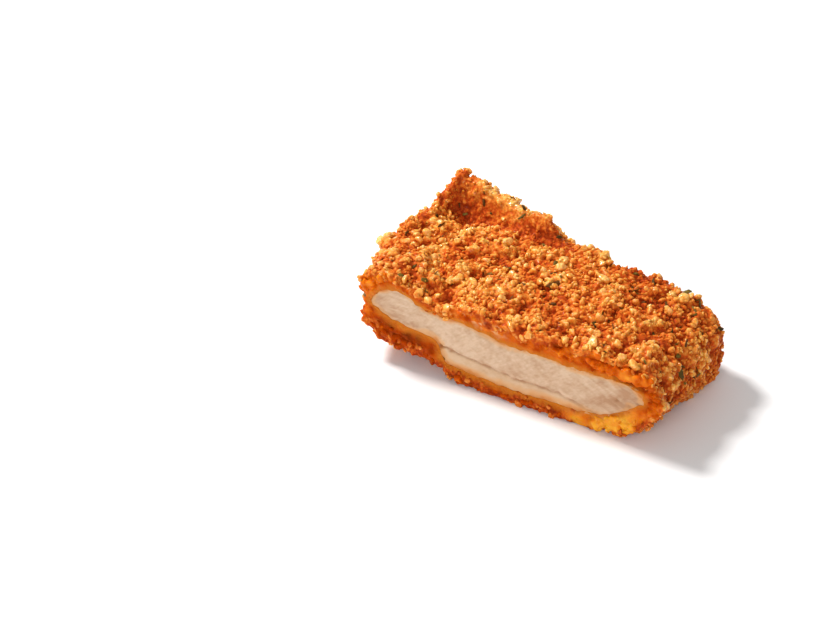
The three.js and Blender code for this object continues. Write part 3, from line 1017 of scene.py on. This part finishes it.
def paintBatter(mesh, points, normals, cutMap, allWet):
    # batter: bare batter at the cut; batterTone: from dark to golden; ochre along the meat; pale peel
    onCut = smoothStep(-normals[:, 1], 0.35, 0.75) * smoothStep(-points[:, 1], -1.3, -0.5)
    batter, batterTone, ochre, pale = np.zeros((4, len(points)))
    batterTone += 0.5
    close = np.flatnonzero(points[:, 1] < crust["cutReach"])
    near = points[close]
    x, z = near[:, 0], near[:, 2]
    inner, share = cutMap.share(x, z)
    tone, clear = zoneMix(x, z)
    ragged = 0.22 * softNoise(near, 1.8, 71)
    batter[close] = onCut[close] * (1 - smoothStep(share + ragged, clear - 0.08, clear + 0.1))
    lump = softNoise(near, 1.6, 74) + 0.6 * softNoise(near, 0.8, 75)
    # painted light where the batter stands out of the cut and painted shade where it lies back
    batterTone[close] = tone - 0.12 * near[:, 1].clip(-1.2, 1.0) + 0.2 * lump - 0.04
    # painted shade in the gap below the overhang at the right
    batterTone[close] -= 0.25 * bellAt(underLipGapAndPaintedShade, 1.0, x, z)
    thick = np.maximum(inZone("under the strip", x, z), inZone("thick pocket", x, z))
    width = 1.3 - 0.5 * inZone("left lobe", x, z) + 1.2 * thick
    ochre[close] = 1 - smoothStep(inner + 0.5 * softNoise(near * (0.5, 1, 1), 1.6, 72), 0.1, width)
    pale[close] = bellAt(peelStreak, 1.4, x, z) * (softNoise(near * (0.22, 1, 1), 0.42, 73) > 0.1)
    if allWet:
        batterTone += 0.14 * bellAt(lipFront, 2.5, points[:, 0], points[:, 2])
        batter[:] = 1
        ochre[:] = 0
    for name, values in (("batter", batter), ("batterTone", batterTone), ("ochre", ochre), ("peel", pale)):
        setAttribute(mesh, name, values)


def paint(mesh, points, normals, measures, tones, allWet=False):
    # rise: how far a point stands up, so how pale it is painted: partly the crumbs' own golden colour over
    # the darker paste, partly painted shade in hollows and valleys and painted light on the tips; tone: a
    # number for each crumb
    paintBatter(mesh, points, normals, measures["cut"], allWet)
    x, y, z = points.T
    # at the cut: painted light where the crust stands out, painted shade where it lies back, and darker low
    # down
    front = -0.5 - 1.2 * y - 0.7 * smoothStep(-z, -12, -5)
    # painted shade low in the body's valleys and down between the crumbs, painted light where they stand up
    height = 0.45 * measures["plain"].height(points) + 0.95 * (measures["skin"].height(points) - 0.5)
    height = np.maximum(height, np.where(y < 0.8, front, -9))
    height -= 0.7 * lowFront(points, 9) * height.clip(0)
    rise = 0.30 + 0.34 * height
    # paler and darker patches of the crust, with painted light on the steep wall and the near side of the rim
    for line, reach, paler, faded in tintsAndPaintedLight.values():
        rise += paler * bellAt(line, reach, x, y) * (1 - smoothStep(y, faded - 3, faded))
    setAttribute(mesh, "rise", np.clip(rise, 0.0, 0.74))
    setAttribute(mesh, "tone", tones)


def nearestTone(points, crumbSet):
    tree = treeOf(crumbSet["points"])
    return crumbSet["tone"][np.array([tree.find(p)[1] for p in points])]


# loose crumbs: how many, radius, ball level, shade, share of spacing, seed
looseKinds = {
    "amberCrumbs": (600, (0.55, 1.15), 3, (0.3, 0.9), 0.8, 51),
    "russetCrumbs": (2300, (0.36, 0.7), 2, (0.2, 1.0), 0.8, 54),
    "goldenCrumbs": (430, (0.4, 0.95), 3, (0.5, 1.0), 0.85, 52),
    "fineCrumbs": (1350, (0.22, 0.45), 2, (0.3, 1.0), 0.8, 53),
}


def makeLooseCrumbs(name, outer, measures):
    count, radius, level, shade, spacing, seed = looseKinds[name]
    count = count
    verts, faces = outer

    def weight(middle, normal):
        # none on the cut or under the piece, fewer on overhangs, in drifts
        value = (normal[:, 1] >= -0.8) * (middle[:, 2] > 0.5) * np.where(normal[:, 2] > -0.2, 1, 0.35)
        value = value * (smoothStep(softNoise(middle, 4.0, seed), -0.6, 0.3) + 0.08)
        value = value * (1 - ballAt(*bareNose, middle))
        return value * (1 - 0.6 * wallShare(middle, normal))

    points, normals, random = scatter(verts, faces, count * 4, weight, seed)
    radii = radius[0] + (radius[1] - radius[0]) * random.beta(1.5, 2.6, len(points))
    radii *= 1 - crumbs["finerOnWall"] * wallShare(points, normals)
    radii *= 1 - 0.28 * smoothStep(points[:, 0], 26, 34)       # finer round the right end
    kept = thinned(points, radii, spacing)[:count]
    points, normals, radii = points[kept], normals[kept], radii[kept]
    centres = points + normals * (radii * random.uniform(-0.25, 0.2, len(radii)))[:, None]
    shapes, faces = nuggets(centres, radii, level, random, rough=0.22)
    shapes[..., 1] = np.maximum(shapes[..., 1], crust["foremost"])
    shapes[..., 2] = np.maximum(shapes[..., 2], crust["onTable"])
    flat = shapes.reshape(-1, 3)
    obj = newObject(name, meshFrom(name, flat, faces))
    tones = np.repeat(random.uniform(*shade, len(radii)), shapes.shape[1])
    paint(obj.data, flat, np.zeros_like(flat), measures, tones)
    print("stage:", name, len(radii), "crumbs")
    return obj


# the meat's cut face

def meatSeam(flatPoints):
    # distance from the seam between the two muscles, and its height above each point's nearest spot
    seam = splineOpen(meatShape["seam"], 30)
    seam[:, 1] += 0.35 * softNoise(np.stack([seam[:, 0], 0 * seam[:, 0], 0 * seam[:, 0]], 1), 1.6, 40)
    tree = flatTree(seam)
    found = [tree.find((p[0], p[2], 0)) for p in flatPoints]
    return np.array([f[2] for f in found]), np.array([f[0][1] for f in found])


def meatMarks(flatPoints):
    # seam groove, pits, fibres, creases and stained spots of the cut meat
    m = meatShape
    x, z = flatPoints[:, 0], flatPoints[:, 2]
    seamAway, seamZ = meatSeam(flatPoints)
    groove = np.exp(-(seamAway / (0.36 + 0.16 * softNoise(flatPoints, 1.1, 35))) ** 2)
    groove = groove * (0.75 + 0.5 * softNoise(flatPoints, 1.7, 36)).clip(0, 1)
    tilt = math.radians(m["grainTilt"])
    across = np.array([[math.cos(tilt), 0, -math.sin(tilt)], [0, 1, 0], [math.sin(tilt), 0, math.cos(tilt)]])
    turned = flatPoints @ across
    rightEnd, nose = smoothStep(x, 2, 20), smoothStep(-x, 30, 40)
    fibre = 0.6 * softNoise(turned * (0.5, 1, 1.2), 0.9, 31) + 0.5 * softNoise(flatPoints, 0.6, 38)
    fibre = fibre * (1 - 0.6 * np.maximum(rightEnd, nose))
    fibre += 0.9 * rightEnd * softNoise(turned * (0.2, 1, 1.5), 0.8, 44)
    fibre += 0.8 * nose * softNoise(flatPoints * (0.25, 1, 1.6) + (0, 0, 0.05), 0.8, 45)
    spots = dotsAt(m["spots"], (0.6, 1), x, z) * (0.6 + 0.6 * softNoise(flatPoints, 1.0, 46)).clip(0)
    crease = np.exp(-(softNoise(turned * (0.3, 1, 1.1), 1.7, 37) / 0.07) ** 2)
    crease *= 0.15 + 0.6 * smoothStep(x, 8, 20)
    pits = dotsAt(m["pits"], (1, 1.6), x, z)
    waves = softNoise(turned * (0.5, 1, 1), 2.6, 32)
    depth = 0.45 * groove + 0.4 * pits + 0.06 * fibre + 0.06 * crease + 0.12 * waves
    return {"groove": groove, "pits": pits, "fibre": fibre, "crease": crease, "spots": spots,
            "depth": depth, "seamZ": seamZ}


def weldClose(mesh, sharpDegrees):
    # joins the cut face to the sides and keeps the edge between them crisp
    shape = bmesh.new()
    shape.from_mesh(mesh)
    bmesh.ops.remove_doubles(shape, verts=shape.verts, dist=2e-6)
    bmesh.ops.recalc_face_normals(shape, faces=shape.faces)
    crisp = [edge.calc_face_angle(0) > math.radians(sharpDegrees) for edge in shape.edges]
    shape.to_mesh(mesh)
    shape.free()
    mesh.shade_smooth()
    markSharp(mesh, crisp)


def makeMeat():
    m = meatShape
    x, low, high = meatOutline(m["columns"])
    rows = np.linspace(0, 1, m["levels"])
    gridX = np.repeat(x[:, None], len(rows), 1)
    gridZ = low[:, None] + (high - low)[:, None] * rows[None]
    flatPoints = np.stack([gridX.ravel(), 0 * gridX.ravel(), gridZ.ravel()], 1)
    x, z = flatPoints[:, 0], flatPoints[:, 2]
    edgeAway = flatAway(flatTree(meatLoop()), x, z)
    marks = meatMarks(flatPoints)
    inward = smoothStep(edgeAway, 0.0, 0.9)
    recess = 0.1 * (1 - inward) + marks["depth"] * inward
    recess = np.maximum(recess, 0.05 - 0.6 * smoothStep(edgeAway, 0.7, 1.3))      # behind the batter's lip
    front = flatPoints + np.stack([0 * recess, recess, 0 * recess], 1)

    n, k = m["columns"], m["levels"]
    index = np.arange(n * k).reshape(n, k)
    corners = (index[:-1, :-1], index[1:, :-1], index[1:, 1:], index[:-1, 1:])
    quads = np.stack([corner.ravel() for corner in corners], 1)
    tris = np.concatenate([quads[:, [0, 1, 2]], quads[:, [0, 2, 3]]])
    sideVerts, sideFaces, ring = meatLoft(m["columns"], m["rows"])
    hidden = len(sideVerts) - ring
    border = np.concatenate([index[:, 0], index[-2:0:-1, -1]])
    remap = np.concatenate([border, n * k + np.arange(hidden)])
    verts = np.concatenate([front, sideVerts[ring:]])
    mesh = meshFrom("fillet", verts, np.concatenate([tris, remap[sideFaces]]))
    obj = newObject("fillet", mesh)

    ragged = 0.8 * softNoise(flatPoints * (0.6, 1, 1), 1.9, 34) + 0.3 * softNoise(flatPoints, 1.1, 39)
    wide = 1.7 + 1.0 * bellAt(m["stripLine"], 3, x, z)
    left, right = m["stripSpan"]
    tan = 0.7 * smoothStep(x, 4, 28) + 0.5 * smoothStep(-x, 42, 47)
    layers = {
        "edge": (1 - np.clip((edgeAway + ragged) / wide, 0, 1), 1.0),
        # seam: the seam's own darker line, and painted shade in the pits
        "seam": (np.clip(marks["groove"] + 0.8 * marks["pits"], 0, 1), 0.0),
        # fibre: grain, tan ends and stained spots, with painted shade darkening the creases
        "fibre": (0.65 + 0.6 * marks["fibre"] - 0.25 * marks["crease"] - tan - 1.3 * marks["spots"], 0.0),
        "strip": (smoothStep(marks["seamZ"] - z, 0.0, 0.4) * (x < right) * (x > left), 0.0),
    }
    for name, (values, behind) in layers.items():
        setAttribute(mesh, name, np.concatenate([values, np.full(hidden, behind)]))
    weldClose(mesh, 45)
    print("stage: fillet", len(mesh.polygons), "faces")
    return obj


# herbs

herbs = {
    "count": 150, "length": (1.1, 4.3), "smaller": (1.2, 3.4),   # beta draw, so that most are short
    "width": (0.2, 0.55), "thick": 0.1, "ragged": 0.75,
    "curl": (-0.35, 0.15), "tilt": 0.5, "spin": 6.283, "out": 0.2, "seed": 41,
    "dark": "#4e3812", "green": "#7a6426", "brown": "#683a12", "roughness": 0.6, "ior": 1.45,
}


def makeHerbs(outer):
    verts, faces = outer

    def weight(middle, normal):
        value = (middle[:, 2] > 6) * (middle[:, 1] > 0.8) * np.where(normal[:, 2] > -0.1, 1, 0.2)
        return value * (smoothStep(softNoise(middle, 9.0, 42), -0.5, 0.4) + 0.2)

    points, normals, random = scatter(verts, faces, herbs["count"], weight, herbs["seed"])
    base, ball = icoSphere(2)
    short, long = herbs["length"]
    out = []
    for point, normal in zip(points, normals):
        length = short + (long - short) * random.beta(*herbs["smaller"])
        width = length * random.uniform(*herbs["width"])
        leaf = base * (length / 2, width / 2, herbs["thick"])
        torn = softNoise(base * 1.7 + random.uniform(0, 99, 3), 0.6, 43)
        leaf = leaf * (1 + herbs["ragged"] * torn)[:, None]
        leaf[:, 2] += random.uniform(*herbs["curl"]) * (leaf[:, 0] ** 2) / length
        facing = Vector(normal + random.normal(0, herbs["tilt"], 3)).normalized()
        spin = Matrix.Rotation(random.uniform(0, herbs["spin"]), 3, "Z")
        turn = facing.to_track_quat("Z", "Y").to_matrix() @ spin
        out.append(leaf @ np.array(turn).T + point + normal * herbs["out"])
    allFaces = ball[None] + (np.arange(len(out)) * len(base))[:, None, None]
    obj = newObject("herbFlakes", meshFrom("herbFlakes", np.concatenate(out), allFaces.reshape(-1, 3)))
    setAttribute(obj.data, "tone", np.repeat(random.random(len(out)), len(base)))
    return obj


def driedHerbMaterial():
    # Dried parsley fried in oil: dark olive to brown thin flakes, each with its own shade
    material, tree = newMaterial("driedHerb")
    tone = node(tree, "Attribute", {"attribute_name": "tone"}).outputs["Fac"]
    colour = ramp(tree, tone, [(0.0, herbs["brown"]), (0.45, herbs["dark"]), (1.0, herbs["green"])])
    shader = node(tree, "BsdfPrincipled", {
        "Roughness": herbs["roughness"], "IOR": herbs["ior"], "Specular IOR Level": 0.12},
        {"Base Color": colour})
    node(tree, "OutputMaterial", links={"Surface": shader.outputs["BSDF"]})
    return material


def dress(obj, material):
    obj.data.materials.clear()
    obj.data.materials.append(material)
    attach(obj, "root")


# stage, light and camera

studio = {
    "lens": 100, "azimuth": 31.75, "elevation": 32.0,
    "camera": (223.28, -418.31, 325.17),       # in drawing millimetres
    "floor": "#f6f5f4", "floorSize": 3.0, "world": 0.44, "aim": (0, 0, 0.01),
}
lamps = {
    # where, disk size in metres, watts
    "key": ((-0.46, 0.04, 0.57), 0.18, 6.2),
    "fill": ((0.20, -0.65, 0.35), 0.40, 2.0),
}


def makeStage():
    # Pale matt studio card
    half = studio["floorSize"] / 2
    mesh = bpy.data.meshes.new("floor")
    corners = [(-half, -half, 0), (half, -half, 0), (half, half, 0), (-half, half, 0)]
    mesh.from_pydata(corners, [], [(0, 1, 2, 3)])
    obj = newObject("floor", mesh)
    material, tree = newMaterial("paleFloor")
    shader = node(tree, "BsdfPrincipled", {"Base Color": srgb(studio["floor"]), "Roughness": 0.8})
    node(tree, "OutputMaterial", links={"Surface": shader.outputs["BSDF"]})
    mesh.materials.append(material)


def makeLights():
    world = bpy.data.worlds.new("studio")
    world.use_nodes = True
    background = world.node_tree.nodes["Background"]
    background.inputs["Color"].default_value = srgb("#ffffff")
    background.inputs["Strength"].default_value = studio["world"]
    bpy.context.scene.world = world
    for name, (spot, size, power) in lamps.items():
        data = bpy.data.lights.new(name, "AREA")
        data.shape = "DISK"
        data.size = size
        data.energy = power
        lamp = newObject(name, data)
        lamp.location = spot
        lamp.rotation_euler = (Vector(studio["aim"]) - Vector(spot)).to_track_quat("-Z", "Y").to_euler()


def makeCamera():
    data = bpy.data.cameras.new("camera")
    data.lens = studio["lens"]
    data.sensor_width = 36
    data.clip_start = 0.01
    obj = newObject("camera", data)
    obj.location = toPart(studio["camera"])
    azimuth, elevation = math.radians(studio["azimuth"]), math.radians(studio["elevation"])
    level = math.cos(elevation)
    back = Vector((math.sin(azimuth) * level, -math.cos(azimuth) * level, math.sin(elevation)))
    obj.rotation_euler = back.to_track_quat("Z", "Y").to_euler()
    bpy.context.scene.camera = obj
    bpy.context.scene.view_settings.view_transform = "Standard"


makeCamera()
makeLights()
makeStage()
skinVerts, skinFaces, plainVerts, plainNormals = makeSkin()
skinNormals = pointNormals(skinVerts, skinFaces)
print("stage: skin", len(skinFaces), "faces")
measures = {
    "plain": Surface(plainVerts, plainNormals),
    "skin": Surface(skinVerts, skinNormals),
    "cut": CutMap(skinVerts, skinNormals),
}
crumbSet = placeCrumbs(skinVerts, skinFaces, measures)
print("stage: crumbs placed", len(crumbSet["points"]))
crumbCoating = makeCrust(skinVerts, skinFaces, crumbSet)
outer = (pointsOf(crumbCoating.data), trianglesOf(crumbCoating.data))
reliefAtCut(crumbCoating, measures["cut"])
hollowCrust(crumbCoating)
lipOverMeat(crumbCoating, measures["cut"])
shellPoints = pointsOf(crumbCoating.data)
tones = nearestTone(shellPoints, crumbSet)
paint(crumbCoating.data, shellPoints, normalsOf(crumbCoating.data), measures, tones)
fillet = makeMeat()
friedCrumb = friedCrumbMaterial()
onCrust = [crumbCoating, makeBatterLumps(measures)]
onCrust += [makeLooseCrumbs(name, outer, measures) for name in looseKinds]
herbFlakes = makeHerbs(outer)
for piece in onCrust:
    dress(piece, friedCrumb)
dress(herbFlakes, driedHerbMaterial())
dress(fillet, cookedMeatMaterial())
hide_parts("coating")
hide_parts("meat")
print("stage: dressed")
